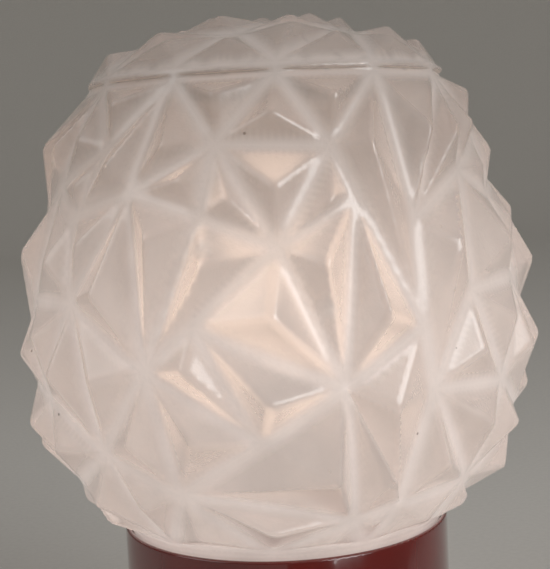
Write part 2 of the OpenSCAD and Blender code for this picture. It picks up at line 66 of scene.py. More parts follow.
# The painted glow of the glass, in metres and shares. All of it was tuned until the lit shade looked right, and
# none of it is worked out from the lamp's light.
LIGHT_DROP = 0.022  # how far under the middle of the bulb the glow is centred
CROWN_FADE = 0.115  # height over which it fades, up to the crown's top
LINING_AT_CROWN = 0.22  # share of the lining's glow that is left at the crown's top
SKIN_CROWN_LOSS = 0.62  # share of the outer skin's glow that is gone there
FADE_DEPTH = 0.032  # thickness of glass that dims the outer skin's glow to 1/e
WALL_UNSEEN = 0.004  # thickness taken where no lining lies on the way to the bulb
LINING_REACH = 0.05  # how far inwards the lining is looked for
SIDE_ON = 0.35  # share of the glow that a facet turned away from the bulb keeps
FULL_GLOW_AT = 0.085  # distance from the glow's centre at which nearness leaves it as it is
MOST_NEARNESS = 1.1  # the most that nearness multiplies it by
BULB_FADE = (0.028, 0.05)  # distances from the bulb's middle between which its own glow falls
NECK_GLOW = 0.25  # share of that glow that is left at the neck

# The shade's mesh
OUTER_SKIN, LINING = 0, 1  # its material slots
WELD = 2e-6  # CAD points nearer than this, in metres, are one point
SPLIT_ROUNDS = 5
FLAT_ANGLE = math.radians(3)  # faces that meet at less than this make no groove or ridge
REACH_STEPS = 8  # edges walked when distances from a crease are measured
OUT_OF_REACH = 1.0  # distance in metres given to points further than that
GROOVE_ROUNDS, RIDGE_ROUNDS = 16, 3  # rounds of smoothing
PULL = 0.5  # share of the way to its neighbours' mean that a point moves in a round
GROOVE_TONE, RIDGE_TONE = 1.6, 2  # how many crease widths the milky tone, which also paints the grooves brighter, and the rubbed tone reach

DRUM_SHARP_ANGLE = math.radians(35)
COIL_POINTS, WIRE_SIDES = 600, 6

# The bulb's cap: shares of its length, from the foot, between which each part starts or ends
FOOT_STEP = (0.0, 0.07)
THREAD_START = (0.05, 0.16)
THREAD_END = (0.76, 0.86)
COLLAR_STEP = (0.88, 0.94)
STEP_HEIGHT = 1.9 * MM  # how far the foot is drawn in and the collar stands out
POINTS_ROUND, POINTS_ALONG = 97, 111
SEAM_GAP = 0.01 * MM

# The stage, in metres and watts
SENSOR_MM = 36
WORLD_LIGHT = 0.3
KEY_SOFTBOX = {"place": (1.0, -0.9, 0.75), "size": 0.7, "power": 8}
FILL_SOFTBOX = {"place": (-1.1, -0.5, 0.9), "size": 0.9, "power": 3}
FLOOR_CENTRE, WALL_BEND, WALL_TOP = 0.4, 0.9, 2.4
BEND_STEPS, FLOOR_SIDES = 10, 96


# Colours and shader nodes


def linear(hex_colour):
    """A linear RGBA colour from an sRGB hex string such as '#5a1814'."""
    digits = hex_colour.lstrip("#")
    channels = [int(digits[i : i + 2], 16) / 255 for i in (0, 2, 4)]
    return (*[c / 12.92 if c <= 0.04045 else ((c + 0.055) / 1.055) ** 2.4 for c in channels], 1.0)


def add(tree, kind, sockets=None, **settings):
    """Adds a node to a tree. settings are its properties; sockets are input values or the outputs to link from."""
    made = tree.nodes.new(kind)
    for key, value in settings.items():
        setattr(made, key, value)
    for key, value in (sockets or {}).items():
        if isinstance(value, bpy.types.NodeSocket):
            tree.links.new(value, made.inputs[key])
        else:
            made.inputs[key].default_value = value
    return made


def new_material(name):
    """A material with an empty node tree, and that tree."""
    material = bpy.data.materials.new(name)
    material.use_nodes = True
    material.node_tree.nodes.clear()
    return material, material.node_tree


def show(tree, shader):
    """Links a shader's output socket to the material's surface."""
    add(tree, "ShaderNodeOutputMaterial", {"Surface": shader})


def object_place(tree):
    """The socket that gives a point's own place in metres."""
    return add(tree, "ShaderNodeTexCoord").outputs["Object"]


def per_mm(size_mm):
    """The texture scale, in repeats for each metre, that gives a pattern of that real size."""
    return 1 / (size_mm * MM)


def grain(tree, size_mm, detail=3.0, place=None):
    """A noise pattern whose blotches are size_mm across."""
    noise = add(
        tree,
        "ShaderNodeTexNoise",
        {"Vector": place or object_place(tree), "Scale": per_mm(size_mm), "Detail": detail},
    )
    return noise.outputs["Fac"]


def spread(tree, factor, low, high, at=(0.35, 0.65)):
    """Maps a 0 to 1 pattern on to a range, mostly over the part of it that noise fills."""
    return add(
        tree,
        "ShaderNodeMapRange",
        {"Value": factor, "From Min": at[0], "From Max": at[1], "To Min": low, "To Max": high},
    ).outputs["Result"]


def tint(tree, factor, first, second):
    """Mixes two colours, each a hex string or linear RGBA, by a pattern."""
    ramp = add(tree, "ShaderNodeValToRGB", {"Fac": factor})
    for element, position, colour in zip(ramp.color_ramp.elements, (0.3, 0.7), (first, second)):
        element.position = position
        element.color = linear(colour) if isinstance(colour, str) else colour
    return ramp.outputs["Color"]


def bumped(tree, height, depth_mm, strength=0.5):
    """A normal that follows a height pattern of that real depth."""
    return add(
        tree,
        "ShaderNodeBump",
        {"Height": height, "Distance": depth_mm * MM, "Strength": strength},
    ).outputs["Normal"]


# Finishes


def satin_glass():
    """Mould-blown soda glass, acid-etched to a satin skin and lit from behind: milky in the thin grooves and
    clearer in the thick points, with faint cold-mould wrinkles and a few specks of old dust. The milky share
    carries the painted glow, so it also paints the grooves brighter and the thick points greyer. Its glow is what
    skin_light wrote on the mesh."""
    material, tree = new_material("satin_etched_glass")
    place = object_place(tree)
    groove = add(tree, "ShaderNodeAttribute", attribute_name="groove").outputs["Fac"]
    glow = add(tree, "ShaderNodeAttribute", attribute_name="glow").outputs["Fac"]
    wrinkle = add(
        tree,
        "ShaderNodeTexNoise",
        {"Vector": place, "Scale": per_mm(8), "Detail": 5.0, "Distortion": 0.8},
    ).outputs["Fac"]
    etch = grain(tree, 0.8, 2.0, place)
    relief = add(tree, "ShaderNodeMath", {0: etch, 1: 0.35, 2: wrinkle}, operation="MULTIPLY_ADD")
    normal = bumped(tree, relief.outputs[0], 0.35, 0.35)
    cells = add(tree, "ShaderNodeTexVoronoi", {"Vector": place, "Scale": per_mm(16)})
    dust = spread(tree, cells.outputs["Distance"], 1.0, 0.0, at=(0.022, 0.034))
    # milkier towards the grooves; this share carries the painted glow, so it also paints the grooves brighter
    milk_and_glow = spread(tree, groove, 0.35, 0.74, at=(0.0, 1.0))
    ridge = add(tree, "ShaderNodeAttribute", attribute_name="ridge").outputs["Fac"]
    rubbed = spread(tree, ridge, 0.27, 0.16, at=(0.0, 1.0))
    clear = add(
        tree,
        "ShaderNodeBsdfPrincipled",
        {
            "Base Color": linear("#f4efeb"),
            "Roughness": rubbed,
            "IOR": 1.5,
            "Transmission Weight": 1.0,
            "Coat Weight": 0.35,
            "Coat Roughness": 0.14,
            "Normal": normal,
        },
    )
    warmth = tint(tree, glow, "#dfcdc2", "#efe5e3")
    cloud = spread(tree, grain(tree, 11, 4.0, place), 0.93, 1.07)
    light = add(tree, "ShaderNodeMath", {0: glow, 1: cloud}, operation="MULTIPLY").outputs[0]
    clean = add(tree, "ShaderNodeMath", {0: 1.0, 1: dust}, operation="SUBTRACT").outputs[0]
    level = add(tree, "ShaderNodeMath", {0: light, 1: clean}, operation="MULTIPLY").outputs[0]
    body = add(
        tree,
        "ShaderNodeMix",
        {"Factor": dust, "A": linear("#dad1cd"), "B": linear("#4a3a30")},
        data_type="RGBA",
    )
    white = add(
        tree,
        "ShaderNodeBsdfPrincipled",
        {
            "Base Color": body.outputs["Result"],
            "Roughness": rubbed,
            "IOR": 1.5,
            "Emission Color": warmth,
            "Emission Strength": level,
            "Normal": normal,
        },
    )
    mixed = add(tree, "ShaderNodeMixShader", {0: milk_and_glow, 1: clear.outputs[0], 2: white.outputs[0]})
    show(tree, mixed.outputs[0])
    return material


def etched_lining(settings):
    """The shade's inner skin, etched white, which spreads the bulb's light over the whole glass. It gives off
    a painted light that fades towards the crown, and the bulb itself glows faintly through it."""
    material, tree = new_material("etched_inner_skin")
    place = object_place(tree)
    height = add(tree, "ShaderNodeSeparateXYZ", {0: place}).outputs["Z"]
    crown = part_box("shade_glass")[1].z
    falloff = smooth_step(tree, height, crown - CROWN_FADE, crown, 1.0, LINING_AT_CROWN)
    cloud = spread(tree, grain(tree, 22, 3.0, place), 0.93, 1.07)
    level = add(tree, "ShaderNodeMath", {0: falloff, 1: cloud}, operation="MULTIPLY").outputs[0]
    warm = tint(tree, falloff, "#dac7ba", "#f0e5e1")
    strength = add(tree, "ShaderNodeMath", {0: level, 1: settings.lining_glow}, operation="MULTIPLY").outputs[0]
    skin = add(
        tree,
        "ShaderNodeBsdfPrincipled",
        {
            "Base Color": linear("#cfc5bd"),
            "Roughness": 0.6,
            "IOR": 1.5,
            "Emission Color": warm,
            "Emission Strength": strength,
        },
    )
    haze = add(
        tree,
        "ShaderNodeBsdfPrincipled",
        {
            "Base Color": linear("#f6e9df"),
            "Roughness": 0.38,
            "IOR": 1.5,
            "Transmission Weight": 1.0,
            "Emission Color": warm,
            "Emission Strength": strength,
        },
    )
    mixed = add(
        tree,
        "ShaderNodeMixShader",
        {0: settings.lining_clearness, 1: skin.outputs[0], 2: haze.outputs[0]},
    )
    show(tree, mixed.outputs[0])
    return material


def stove_enamel(settings):
    """Gloss stove enamel on spun steel: a deep blood red under a wet clear surface with slight orange peel."""
    material, tree = new_material("red_stove_enamel")
    peel = grain(tree, 2.5, 2.0)
    coat_normal = bumped(tree, peel, 0.02, 0.25)
    colour = tint(tree, grain(tree, 25), settings.enamel_shade, settings.enamel)
    smear = spread(tree, grain(tree, 9, 4.0), 0.13, 0.19)
    paint = add(
        tree,
        "ShaderNodeBsdfPrincipled",
        {
            "Base Color": colour,
            "Roughness": smear,
            "IOR": 1.5,
            "Coat Weight": 1.0,
            "Coat Roughness": 0.04,
            "Coat Normal": coat_normal,
            "Normal": coat_normal,
        },
    )
    show(tree, paint.outputs[0])
    return material


# One row for each hard finish: its slot, then the material's name, two tones of its colour, the size in mm of its
# mottling, the lowest and highest roughness, and what else differs from a plain dielectric. A stretch draws the
# mottling out along an axis, as brushing and turning do.
FINISHES = {
    # Bright zinc over mild steel: cold grey with a faint cloudy spangle and a soft sheen
    "zinc_steel": ("bright_zinc_plate", "#9a9ea1", "#bfc2c3", 5, 0.28, 0.45, {"metallic": 1.0, "bump_mm": 0.02}),
    # Sand-cast iron under thin bitumen paint: near black and grainy, and dull but for the high grains
    "cast_iron": ("painted_cast_iron", "#1b1b1c", "#2c2b2a", 1.6, 0.5, 0.75, {"bump_mm": 0.25}),
    # Closed-cell sponge rubber: dark and matt, with fine open pores
    "felt_rubber": ("sponge_rubber", "#141414", "#262524", 0.8, 0.8, 0.95, {"bump_mm": 0.15, "ior": 1.52}),
    # Moulded rubber with a bloom: soft black, a little grey where it has dried out
    "black_rubber": ("moulded_rubber", "#0f0f10", "#1f1f20", 3, 0.55, 0.75, {"bump_mm": 0.04, "ior": 1.52}),
    # Turned brass, drawn with fine lathe rings, slightly browned in patches
    "brass": (
        "turned_brass",
        "#a8843f",
        "#cfa95c",
        1.2,
        0.18,
        0.36,
        {"metallic": 1.0, "bump_mm": 0.02, "stretch": (0.25, 0.25, 3.0)},
    ),
    # Compression-moulded phenolic: dark brown with wood-flour mottling and a dulled gloss
    "bakelite": ("brown_bakelite", "#1d0e08", "#3a1d10", 6, 0.2, 0.34, {"bump_mm": 0.02, "ior": 1.6}),
    # Glazed steatite: warm white, glossy, with a slight pool in the glaze
    "porcelain": ("glazed_porcelain", "#dedacd", "#efece2", 7, 0.08, 0.18, {"bump_mm": 0.05, "coat": 0.8}),
    # Nickel-plated brass sheet: bright and slightly yellow, with rolled marks
    "nickel": (
        "nickel_plated_sheet",
        "#b5b1a6",
        "#cfccc2",
        1.5,
        0.16,
        0.32,
        {"metallic": 1.0, "bump_mm": 0.015, "stretch": (0.3, 0.3, 2.0)},
    ),
    # Fused black vitrite: glassy black with small flow marks
    "black_glass": ("black_vitrite", "#050507", "#0e0e12", 4, 0.08, 0.2, {"bump_mm": 0.03, "ior": 1.55}),
    # Cooled tin solder: dull silver with a grainy skin
    "solder": ("tin_solder", "#8a8a88", "#a9a9a6", 1.1, 0.35, 0.55, {"metallic": 1.0, "bump_mm": 0.06}),
    # Drawn nickel wire: grey, with long fine draw lines
    "wire_metal": ("drawn_nickel_wire", "#8f8b84", "#aca89f", 0.6, 0.25, 0.4, {"metallic": 1.0, "bump_mm": 0.01}),
    # Natural polyamide: milky white with a faint yellow, and a satin moulded skin
    "white_nylon": ("natural_nylon", "#d6d3c6", "#e8e5da", 5, 0.38, 0.55, {"bump_mm": 0.03, "ior": 1.53}),
    # Injection-moulded black ABS: a fine spark-eroded texture that greys the highlights
    "black_plastic": ("moulded_black_abs", "#0c0c0d", "#19191a", 0.9, 0.3, 0.46, {"bump_mm": 0.03, "ior": 1.54}),
    # Injection-moulded red ABS: smooth and glossy, the colour slightly streaked by flow
    "red_plastic": ("moulded_red_abs", "#7c0f0b", "#971a12", 4, 0.18, 0.3, {"bump_mm": 0.01, "ior": 1.54}),
    # Extruded PVC sleeves: an even colour with a waxy sheen
    "brown_pvc": ("brown_pvc_sleeve", "#3a1d0e", "#4f2a16", 2.5, 0.35, 0.5, {"bump_mm": 0.02, "ior": 1.53}),
    "blue_pvc": ("blue_pvc_sleeve", "#123a7c", "#1d4f9c", 2.5, 0.35, 0.5, {"bump_mm": 0.02, "ior": 1.53}),
    "green_pvc": ("green_pvc_sleeve", "#3f7a1c", "#b8b431", 6, 0.35, 0.5, {"bump_mm": 0.02, "ior": 1.53}),
}


def hard_finish(name, dark, light, mottle_mm, smoothest, roughest, extra):
    """A hard finish from one row of FINISHES: two tones, a shallow relief, and patches of wear in the gloss, three
    times as wide as the mottling."""
    material, tree = new_material(name)
    place = add(
        tree,
        "ShaderNodeMapping",
        {"Vector": object_place(tree), "Scale": extra.get("stretch", (1.0, 1.0, 1.0))},
    ).outputs["Vector"]
    mottle = grain(tree, mottle_mm, 4.0, place)
    surface = add(
        tree,
        "ShaderNodeBsdfPrincipled",
        {
            "Base Color": tint(tree, mottle, dark, light),
            "Metallic": extra.get("metallic", 0.0),
            "Roughness": spread(tree, grain(tree, 3 * mottle_mm, 3.0, place), smoothest, roughest),
            "IOR": extra.get("ior", 1.5),
            "Coat Weight": extra.get("coat", 0.0),
            "Normal": bumped(tree, mottle, extra["bump_mm"]),
        },
    )
    show(tree, surface.outputs[0])
    return material


def frosted_bulb_glass(settings):
    """Inside-frosted lamp glass: an even warm white glow, hottest round the coil and greyer at the neck."""
    material, tree = new_material("inside_frosted_glass")
    place = object_place(tree)
    middle = (0.0, 0.0, bulb_centre_z())
    distance = add(tree, "ShaderNodeVectorMath", {0: place, 1: middle}, operation="DISTANCE")
    heat = spread(tree, distance.outputs["Value"], 1.0, NECK_GLOW, at=BULB_FADE)
    cloud = spread(tree, grain(tree, 9, 3.0, place), 0.95, 1.05)
    level = add(tree, "ShaderNodeMath", {0: heat, 1: cloud}, operation="MULTIPLY").outputs[0]
    strength = add(tree, "ShaderNodeMath", {0: level, 1: settings.glow}, operation="MULTIPLY").outputs[0]
    frost = add(
        tree,
        "ShaderNodeBsdfPrincipled",
        {
            "Base Color": linear("#e9e2d8"),
            "Roughness": 0.16,
            "IOR": 1.5,
            "Emission Color": linear("#ffe4cf"),
            "Emission Strength": strength,
            "Normal": bumped(tree, grain(tree, 0.6, 2.0, place), 0.02, 0.3),
        },
    )
    show(tree, frost.outputs[0])
    return material


def clear_lead_glass():
    """Drawn lead glass of the bulb's stem: clear and faintly green, with ripples from the flame."""
    material, tree = new_material("clear_lead_glass")
    glass = add(
        tree,
        "ShaderNodeBsdfPrincipled",
        {
            "Base Color": tint(tree, grain(tree, 6), "#dfeae4", "#f0f5f2"),
            "Roughness": spread(tree, grain(tree, 3), 0.02, 0.08),
            "IOR": 1.56,
            "Transmission Weight": 1.0,
            "Normal": bumped(tree, grain(tree, 4), 0.1, 0.3),
        },
    )
    show(tree, glass.outputs[0])
    return material


def hot_tungsten():
    """Coiled tungsten at running heat: yellow-white, a little redder where the supports cool it."""
    material, tree = new_material("hot_tungsten_coil")
    heat = grain(tree, 7, 2.0)
    coil = add(
        tree,
        "ShaderNodeBsdfPrincipled",
        {
            "Base Color": tint(tree, heat, "#6a655e", "#8b857c"),
            "Metallic": 1.0,
            "Roughness": 0.45,
            "Emission Color": tint(tree, heat, "#ff9a4a", "#ffd08a"),
            "Emission Strength": 12.0,
        },
    )
    show(tree, coil.outputs[0])
    return material


def studio_paper(name, dark, light):
    """Plain matt studio paper with a barely uneven tone."""
    material, tree = new_material(name)
    paper = add(
        tree,
        "ShaderNodeBsdfPrincipled",
        {
            "Base Color": tint(tree, grain(tree, 3, 2.0), dark, light),
            "Roughness": 0.85,
            "Normal": bumped(tree, grain(tree, 1.5, 3.0), 0.03, 0.15),
        },
    )
    show(tree, paper.outputs[0])
    return material


# Meshes


def bulb_centre_z():
    """Height of the middle of the bulb's globe."""
    low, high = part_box("bulb_glass")
    return high.z - (high.x - low.x) / 2


def merged_copy(node):
    """A bmesh of a CAD part with its loose triangles joined."""
    bm = bmesh.new()
    bm.from_mesh(frame["nodes"][node].data)
    bmesh.ops.remove_doubles(bm, verts=bm.verts, dist=WELD)
    bmesh.ops.dissolve_degenerate(bm, edges=bm.edges, dist=WELD)
    return bm


def new_object(name, mesh):
    """Puts a mesh in the scene as an object at the origin."""
    made = bpy.data.objects.new(name, mesh)
    bpy.context.scene.collection.objects.link(made)
    return made


def split_long_edges(bm, slot, longest, rounds):
    """Halves the edges longer than a length around the faces of one material slot, a few times over, and keeps
    every face a triangle."""
    for _ in range(rounds):
        long_edges = [
            e
            for e in bm.edges
            if e.calc_length() > longest and any(f.material_index == slot for f in e.link_faces)
        ]
        bmesh.ops.subdivide_edges(bm, edges=long_edges, cuts=1)
        bmesh.ops.triangulate(bm, faces=[f for f in bm.faces if len(f.verts) > 3])


class SurfaceNet:
    """Points and edges of a mesh as arrays, for smoothing."""

    def __init__(self, bm):
        bm.verts.index_update()
        self.points = np.array([v.co for v in bm.verts])
        self.edges = np.array([[v.index for v in e.verts] for e in bm.edges])
        self.count = np.bincount(self.edges.ravel(), minlength=len(self.points))

    def neighbour_mean(self, values):
        """The mean of each point's neighbours' values, row by row."""
        total = np.empty_like(values)
        a, b = self.edges.T
        for axis in range(values.shape[1]):
            into_a = np.bincount(a, values[b, axis], len(values))
            into_b = np.bincount(b, values[a, axis], len(values))
            total[:, axis] = into_a + into_b
        return total / np.maximum(self.count, 1)[:, None]

    def reach_from(self, seeds, steps):
        """Each point's distance along edges from the seed points, as far as that many edges go."""
        away = np.where(seeds, 0.0, OUT_OF_REACH)
        a, b = self.edges.T
        length = np.linalg.norm(self.points[a] - self.points[b], axis=1)
        for _ in range(steps):
            np.minimum.at(away, a, away[b] + length)
            np.minimum.at(away, b, away[a] + length)
        return away


def creases(bm):
    """Which points lie in a groove and which on a ridge, from the angle between the faces at each edge."""
    bm.verts.index_update()
    grooves = np.zeros(len(bm.verts), bool)
    ridges = np.zeros(len(bm.verts), bool)
    for edge in bm.edges:
        if len(edge.link_faces) == 2:
            angle = edge.calc_face_angle_signed(0.0)
            if abs(angle) > FLAT_ANGLE:
                chosen = ridges if angle > 0 else grooves
                chosen[[v.index for v in edge.verts]] = True
    return grooves, ridges


def store(mesh, name, values):
    """Writes one number for each point as an attribute that a material can read."""
    mesh.attributes.new(name, "FLOAT", "POINT").data.foreach_set("value", np.asarray(values, np.float32))


def smoothed(values, low, high):
    """0 below low, 1 over high, and an even curve between."""
    t = np.clip((values - low) / (high - low), 0, 1)
    return t * t * (3 - 2 * t)


# Operators


class LampGlassSettings(bpy.types.PropertyGroup):
    """Sizes and light of the glass shade."""

    groove_width: FloatProperty(
        name="Groove width",
        description="Distance from a groove's line at which the facet is flat again",
        default=0.0036,
        min=0.001,
        max=0.008,
        subtype="DISTANCE",
    )
    ridge_width: FloatProperty(
        name="Ridge width",
        description="Distance from a ridge's line at which the facet is flat again",
        default=0.0018,
        min=0.0005,
        max=0.004,
        subtype="DISTANCE",
    )
    mesh_step: FloatProperty(
        name="Mesh step",
        description="Longest edge of the glass's outer skin",
        default=0.0024,
        min=0.0012,
        max=0.006,
        subtype="DISTANCE",
    )
    lining_glow: FloatProperty(
        name="Lining glow",
        description="Painted light that the inner skin gives off under the crown",
        default=0.285,
        min=0.0,
        max=10.0,
    )
    skin_glow: FloatProperty(
        name="Skin glow",
        description="Painted light of the outer skin, before thickness, angle and height lower it",
        default=0.57,
        min=0.0,
        max=10.0,
    )
    lining_clearness: FloatProperty(
        name="Lining clearness",
        description="Share of the inner skin that shows the bulb behind it",
        default=0.24,
        min=0.0,
        max=1.0,
        subtype="FACTOR",
    )


class LampDrumSettings(bpy.types.PropertyGroup):
    """Colour of the drum."""

    enamel: FloatVectorProperty(
        name="Enamel",
        description="Colour of the stove enamel",
        subtype="COLOR",
        size=4,
        min=0.0,
        max=1.0,
        default=linear("#6e100b"),
    )
    enamel_shade: FloatVectorProperty(
        name="Enamel shade",
        description="Colour of the enamel where it lies a little thicker",
        subtype="COLOR",
        size=4,
        min=0.0,
        max=1.0,
        default=linear("#640f0b"),
    )


class LampBulbSettings(bpy.types.PropertyGroup):
    """Light and fine detail of the bulb."""

    glow: FloatProperty(
        name="Bulb glow",
        description="Light that the frosted bulb gives off",
        default=2.4,
        min=0.0,
        max=50.0,
    )
    coil_turns: IntProperty(
        name="Coil turns",
        description="Turns of the tungsten coil",
        default=46,
        min=10,
        max=90,
    )
    coil_radius: FloatProperty(
        name="Coil radius",
        description="Radius of the coil that the wire is wound into",
        default=0.48 * MM,
        min=0.2 * MM,
        max=0.6 * MM,
        subtype="DISTANCE",
    )
    wire_radius: FloatProperty(
        name="Wire radius",
        description="Radius of the tungsten wire",
        default=0.11 * MM,
        min=0.02 * MM,
        max=0.2 * MM,
        subtype="DISTANCE",
    )
    thread_radius: FloatProperty(
        name="Thread radius",
        description="Mean radius of the cap's rolled thread",
        default=12.7 * MM,
        min=12.5 * MM,
        max=12.8 * MM,
        subtype="DISTANCE",
    )
    thread_depth: FloatProperty(
        name="Thread depth",
        description="Height of the thread's wave over its mean radius",
        default=0.45 * MM,
        min=0.0,
        max=0.5 * MM,
        subtype="DISTANCE",
    )
    thread_pitch: FloatProperty(
        name="Thread pitch",
        description="Rise of the thread for each turn",
        default=3.629 * MM,
        min=3 * MM,
        max=4 * MM,
        subtype="DISTANCE",
    )
    sheet: FloatProperty(
        name="Cap sheet",
        description="Thickness of the cap's sheet metal",
        default=0.35 * MM,
        min=0.2 * MM,
        max=0.5 * MM,
        subtype="DISTANCE",
    )


class LampStageSettings(bpy.types.PropertyGroup):
    """Camera, floor and light."""

    camera_distance: FloatProperty(
        name="Camera distance",
        description="Distance of the camera from the lamp's axis",
        default=0.4555,
        subtype="DISTANCE",
    )
    camera_over_rim: FloatProperty(
        name="Camera over the rim",
        description="Height of the camera over the drum's rim",
        default=0.1319,
        subtype="DISTANCE",
    )
    camera_pitch: FloatProperty(
        name="Camera pitch",
        description="Angle that the camera looks down",
        default=math.radians(5.83),
        subtype="ANGLE",
    )
    camera_roll: FloatProperty(
        name="Camera roll",
        description="Turn of the camera about its own line of sight",
        default=math.radians(-2.79),
        subtype="ANGLE",
    )
    camera_lens: FloatProperty(
        name="Camera lens",
        description="Focal length for a 36 mm long side",
        default=78.5,
        min=10,
        max=300,
        unit="CAMERA",
    )
    floor_radius: FloatProperty(
        name="Floor radius",
        description="Radius of the flat part of the studio floor",
        default=2.5,
        subtype="DISTANCE",
    )


class LAMP_OT_shade(bpy.types.Operator):
    """Builds the glass shade with soft grooves and crisp ridges"""

    bl_idname = "lamp.shade"
    bl_label = "Glass shade"

    def execute(self, context):
        settings = context.scene.lamp_glass
        bm = merged_copy("shade_glass")
        bm.normal_update()
        middle = Vector((0, 0, bulb_centre_z()))
        for face in bm.faces:
            outward = face.normal.dot(face.calc_center_median() - middle) > 0
            face.material_index = OUTER_SKIN if outward else LINING
        inner = [[v.index for v in f.verts] for f in bm.faces if f.material_index == LINING]
        lining = BVHTree.FromPolygons([v.co.copy() for v in bm.verts], inner)
        split_long_edges(bm, OUTER_SKIN, settings.mesh_step, SPLIT_ROUNDS)
        grooves, ridges = creases(bm)
        net = SurfaceNet(bm)
        on_lining = np.zeros(len(bm.verts), bool)
        for face in bm.faces:
            if face.material_index == LINING:
                on_lining[[v.index for v in face.verts]] = True
        from_groove = net.reach_from(grooves & ~on_lining, REACH_STEPS)
        from_ridge = net.reach_from(ridges & ~on_lining, REACH_STEPS)
        soften(net, from_groove, settings.groove_width, from_ridge, settings.ridge_width, on_lining)
        for vertex, place in zip(bm.verts, net.points):
            vertex.co = place
        mesh = bpy.data.meshes.new("shade")
        bm.to_mesh(mesh)
        bm.free()
        mesh.shade_smooth()
        store(mesh, "groove", 1 - smoothed(from_groove, 0.0, GROOVE_TONE * settings.groove_width))
        store(mesh, "ridge", 1 - smoothed(from_ridge, 0.0, RIDGE_TONE * settings.ridge_width))
        store(mesh, "glow", settings.skin_glow * skin_light(mesh, lining, middle))
        shade = new_object("shade", mesh)
        mesh.materials.append(satin_glass())
        mesh.materials.append(etched_lining(settings))
        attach(shade, "shade")
        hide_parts("shade_glass")
        return {"FINISHED"}


def soften(net, from_groove, groove_width, from_ridge, ridge_width, held):
    """Rounds the grooves widely and the ridges a little by moving points towards their neighbours' mean."""
    near_groove = np.clip(1 - from_groove / groove_width, 0, 1)
    near_ridge = np.clip(1 - from_ridge / ridge_width, 0, 1)
    for turn in range(GROOVE_ROUNDS):
        pull = PULL * near_groove
        if turn < RIDGE_ROUNDS:
            pull = np.maximum(pull, PULL * near_ridge)
        pull = np.where(held, 0, pull)[:, None]
        net.points += pull * (net.neighbour_mean(net.points) - net.points)


def skin_light(mesh, lining, middle):
    """A painted stand-in for the bulb's light at each point, not a light calculation: more where the glass is thin
    and faces the bulb, and less up in the crown."""
    points = np.array([v.co for v in mesh.vertices])
    normals = np.array([v.normal for v in mesh.vertices])
    low_light = np.array(middle) - (0, 0, LIGHT_DROP)
    to_bulb = low_light - points
    distance = np.linalg.norm(to_bulb, axis=1)
    to_bulb /= distance[:, None]
    thickness = np.full(len(points), WALL_UNSEEN)
    for i, (point, way) in enumerate(zip(points, to_bulb)):
        hit = lining.ray_cast(Vector(point), Vector(way), LINING_REACH)
        if hit[0] is not None:
            thickness[i] = hit[3]
    facing = np.clip(-(normals * to_bulb).sum(axis=1), 0, 1)
    through = np.exp(-thickness / FADE_DEPTH) * (SIDE_ON + (1 - SIDE_ON) * facing)
    near = np.clip(FULL_GLOW_AT / distance, 0, MOST_NEARNESS)
    crown = points[:, 2].max()
    return through * near * (1 - SKIN_CROWN_LOSS * smoothed(points[:, 2], crown - CROWN_FADE, crown))


class LAMP_OT_drum(bpy.types.Operator):
    """Finishes the red drum"""

    bl_idname = "lamp.drum"
    bl_label = "Red drum"

    def execute(self, context):
        bm = merged_copy("drum_shell")
        mesh = bpy.data.meshes.new("drum")
        bm.to_mesh(mesh)
        bm.free()
        drum = new_object("drum", mesh)
        mesh.shade_smooth()
        mesh.set_sharp_from_angle(angle=DRUM_SHARP_ANGLE)
        mesh.materials.append(stove_enamel(context.scene.lamp_drum))
        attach(drum, "base")
        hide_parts("drum_shell")
        return {"FINISHED"}


class LAMP_OT_filament(bpy.types.Operator):
    """Winds the bulb's tungsten coil along its arc"""

    bl_idname = "lamp.filament"
    bl_label = "Filament coil"

    def execute(self, context):
        settings = context.scene.lamp_bulb
        low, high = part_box("bulb_filament")
        envelope = (high.z - low.z) / 2
        sizes = {
            "Arc radius": (high.x - low.x) / 2 - envelope,
            "Height": (low.z + high.z) / 2,
            "Coil radius": settings.coil_radius,
            "Wire radius": settings.wire_radius,
            "Turns": float(settings.coil_turns),
            "Material": hot_tungsten(),
        }
        coil = grown("filament_coil", coil_tree(), sizes)
        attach(coil, "bulb")
        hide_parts("bulb_filament")
        return {"FINISHED"}


def coil_tree():
    """Geometry Nodes: a wire coiled round a half-circle arc on the lamp's axis."""
    tree, given, result = new_geometry_tree(
        "coil_along_arc", ("Arc radius", "Height", "Coil radius", "Wire radius", "Turns")
    )
    line = add(tree, "GeometryNodeCurvePrimitiveLine")
    fine = add(tree, "GeometryNodeResampleCurve", {"Curve": line.outputs[0], "Count": COIL_POINTS})
    along = add(tree, "GeometryNodeSplineParameter").outputs["Factor"]
    arc = add(tree, "ShaderNodeMath", {0: along, 1: math.pi, 2: -math.pi}, operation="MULTIPLY_ADD").outputs[0]
    whole = add(tree, "ShaderNodeMath", {0: given["Turns"], 1: math.tau}, operation="MULTIPLY").outputs[0]
    wound = add(tree, "ShaderNodeMath", {0: along, 1: whole}, operation="MULTIPLY").outputs[0]
    out = add(tree, "ShaderNodeMath", {0: wound}, operation="COSINE").outputs[0]
    up = add(tree, "ShaderNodeMath", {0: wound}, operation="SINE").outputs[0]
    radius = add(
        tree, "ShaderNodeMath", {0: out, 1: given["Coil radius"], 2: given["Arc radius"]}, operation="MULTIPLY_ADD"
    ).outputs[0]
    height = add(
        tree, "ShaderNodeMath", {0: up, 1: given["Coil radius"], 2: given["Height"]}, operation="MULTIPLY_ADD"
    ).outputs[0]
    wire = add(
        tree,
        "GeometryNodeSetPosition",
        {"Geometry": fine.outputs[0], "Position": around_axis(tree, radius, arc, height)},
    )
    round_wire = add(
        tree,
        "GeometryNodeCurvePrimitiveCircle",
        {"Resolution": WIRE_SIDES, "Radius": given["Wire radius"]},
    )
    tube = add(
        tree,
        "GeometryNodeCurveToMesh",
        {"Curve": wire.outputs[0], "Profile Curve": round_wire.outputs[0], "Fill Caps": True},
    )
    finish_tree(tree, tube.outputs[0], given["Material"], result)
    return tree


